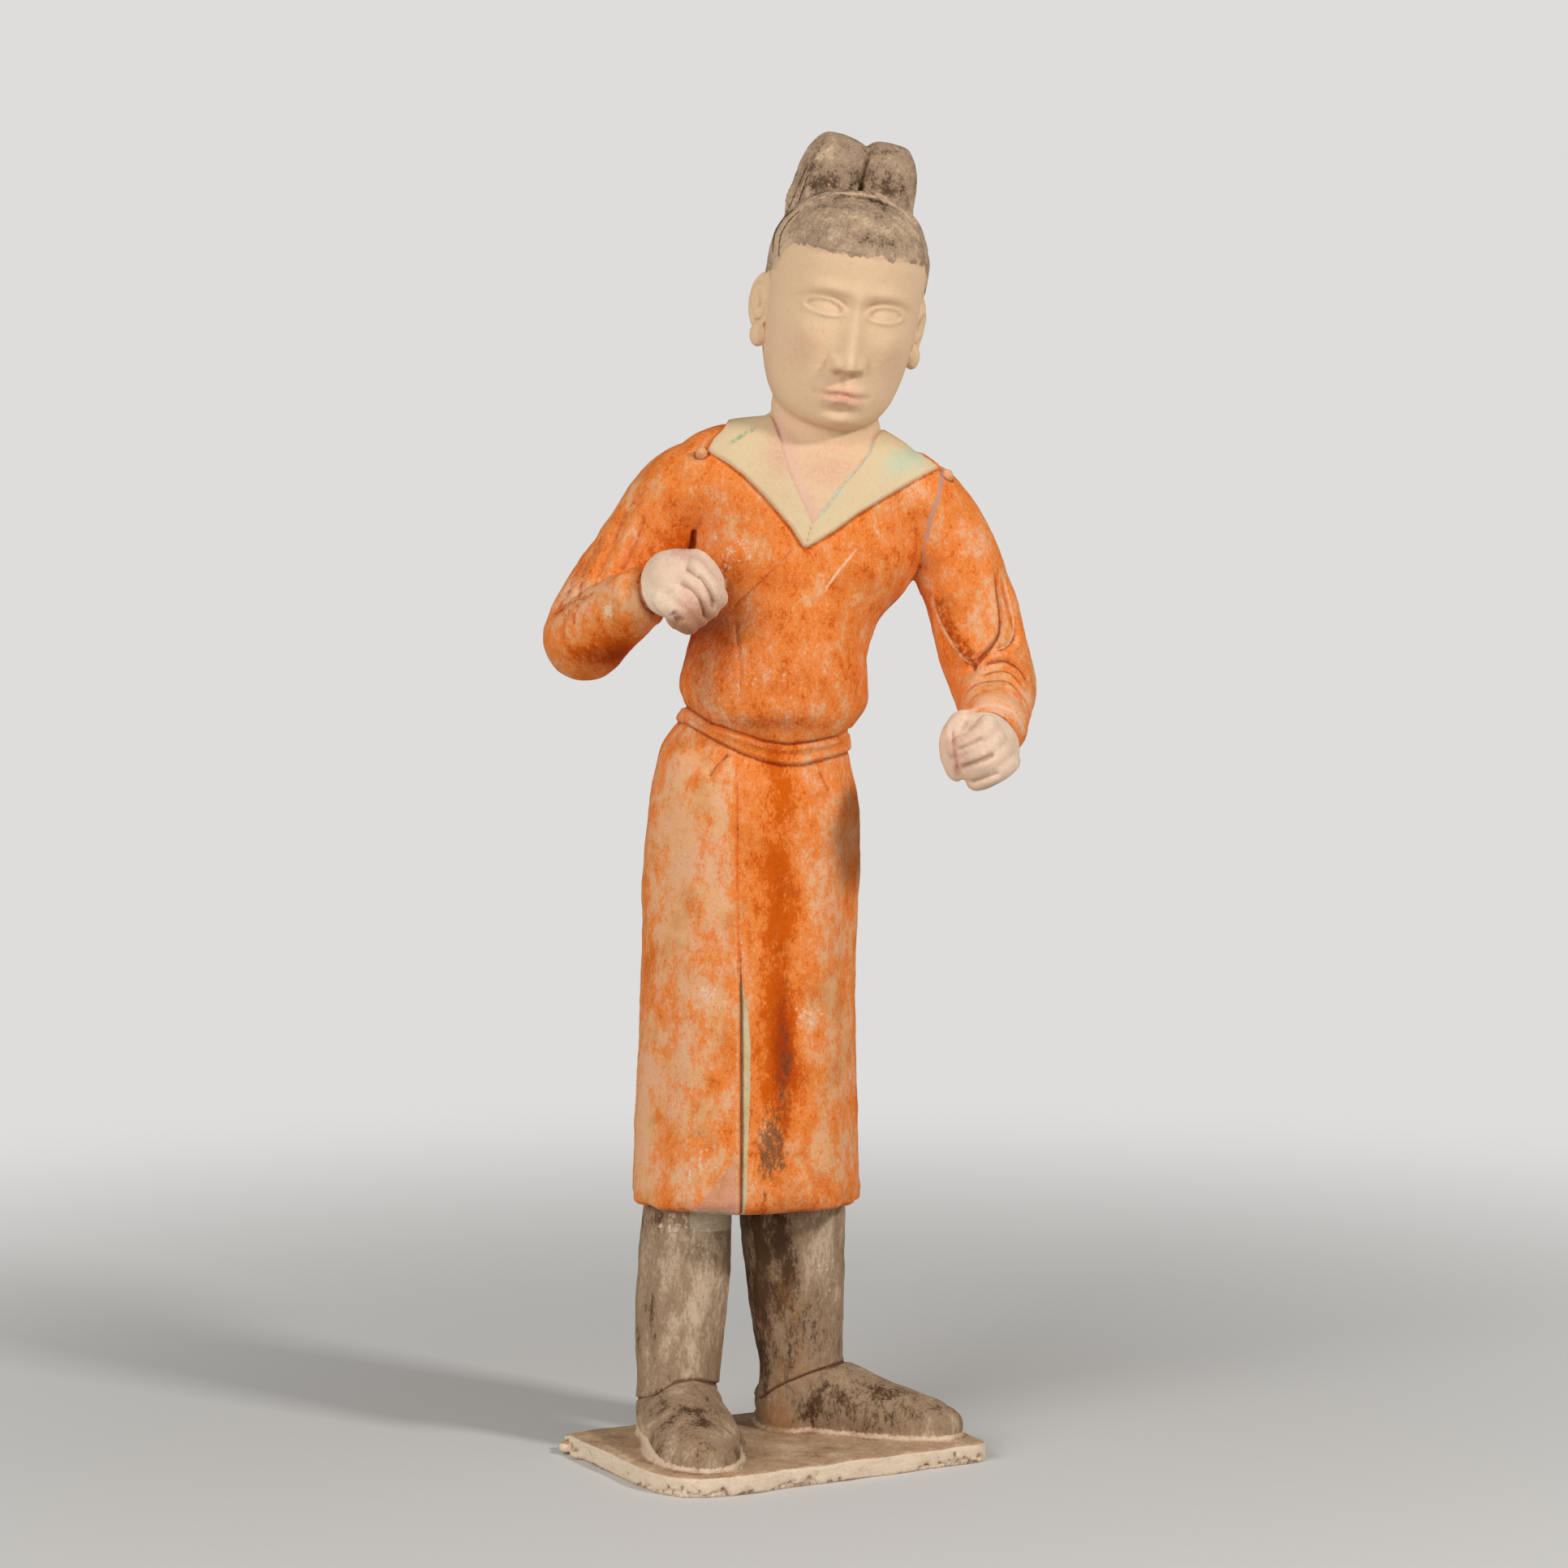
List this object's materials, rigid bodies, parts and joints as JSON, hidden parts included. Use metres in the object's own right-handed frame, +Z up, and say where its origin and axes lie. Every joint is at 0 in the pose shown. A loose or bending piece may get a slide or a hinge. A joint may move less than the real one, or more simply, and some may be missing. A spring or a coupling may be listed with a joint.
{
  "type": "terracotta camel driver figure",
  "caption": "Standing painted-terracotta tomb figure of a camel driver in a long belted coat and boots, fists raised to hold a rein, on its own low plate.",
  "frame": {"origin": "middle of the base plate's flat underside", "axes": "+Z up along the figure's height, -Y the way the chest faces, +X towards the figure's left hand"},
  "size_m": [0.2401, 0.1671, 0.6523],
  "materials": {
    "painted_terracotta": "unglazed fired clay with cold-painted slip and pigment, worn, matt"
  },
  "bodies": {
    "root": {"camel_driver_figure": "painted_terracotta"}
  },
  "joints": []
}
